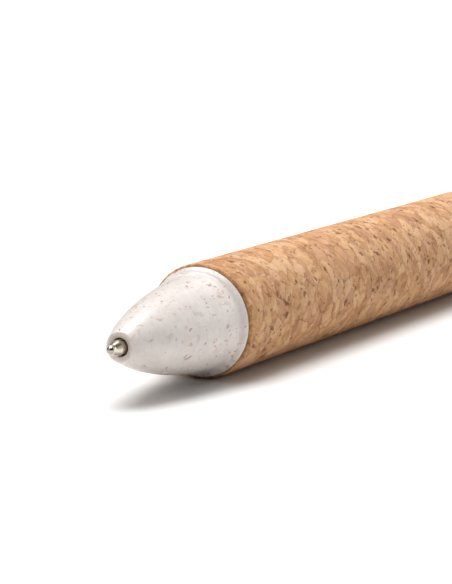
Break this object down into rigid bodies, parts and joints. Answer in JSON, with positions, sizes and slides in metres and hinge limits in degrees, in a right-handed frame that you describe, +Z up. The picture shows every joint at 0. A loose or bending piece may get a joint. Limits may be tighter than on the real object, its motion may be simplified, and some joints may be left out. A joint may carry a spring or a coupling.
{
  "type": "retractable ballpoint pen",
  "caption": "Retractable ballpoint pen with a cork-covered barrel, speckled plastic nose cone, clip housing and push button, lying with its point out.",
  "frame": {"origin": "on the table, straight below the pen's axis, midway between the writing ball and the end of the push button; the table is z = 0 and the cork barrel rests on it", "axes": "+X along the pen from the writing tip to the push button, +Z up from the table, the clip lies on the +Y side with its outer edge just meeting the table"},
  "size_m": [0.1392, 0.0175, 0.0144],
  "materials": {
    "cork": "agglomerated cork, matt, with small pits",
    "speckled_plastic": "satin off-white with sparse brown straw flecks",
    "liner_plastic": "plain moulded",
    "mechanism_plastic": "plain moulded, slippery",
    "spring_steel": "drawn wire",
    "refill_plastic": "translucent tube",
    "ink": "blue paste ink",
    "nickel_silver": "turned and polished",
    "ball_metal": "polished"
  },
  "bodies": {
    "barrel": {"cork_sleeve": "cork", "barrel_liner": "liner_plastic", "upper_housing": "speckled_plastic", "guide_sleeve": "mechanism_plastic"},
    "nose": {"nose_cone": "speckled_plastic"},
    "clip_arm": {"clip": "speckled_plastic"},
    "button": {"push_button": "speckled_plastic"},
    "refill": {"refill_tube": "refill_plastic", "ink": "ink", "refill_tip": "nickel_silver", "return_spring": "spring_steel"},
    "rotor": {"cam_rotor": "mechanism_plastic"},
    "ball": {"writing_ball": "ball_metal"}
  },
  "joints": [
    {"name": "button_slide", "type": "slide", "parent": "barrel", "child": "button", "axis": [1, 0, 0], "range_m": [-0.001, 0.0055]},
    {"name": "refill_slide", "type": "slide", "parent": "barrel", "child": "refill", "axis": [1, 0, 0], "range_m": [-0.001, 0.0055], "deforming": ["return_spring"]},
    {"name": "rotor_turn", "type": "hinge", "parent": "refill", "child": "rotor", "pos_m": [0.04, 0, 0.00722], "axis": [1, 0, 0], "range_deg": [-8.2, 45.1]},
    {"name": "clip_flex", "type": "hinge", "parent": "barrel", "child": "clip_arm", "pos_m": [0.06125, 0.0047, 0.00477], "axis": [0, -0.4619, -0.8869], "range_deg": [0, 5], "stiffness_Nm_per_rad": 0.8},
    {"name": "nose_off", "type": "slide", "parent": "barrel", "child": "nose", "axis": [-1, 0, 0], "range_m": [0, 0.032]},
    {"name": "ball_roll", "type": "hinge", "parent": "refill", "child": "ball", "pos_m": [-0.06905, 0, 0.00722], "axis": [0, 1, 0], "continuous": true}
  ],
  "couplings": [
    {"joint": "refill_slide", "follows": "button_slide", "ratio": 1},
    {"joint": "rotor_turn", "follows": "button_slide", "rad_per_m": 142.8}
  ]
}
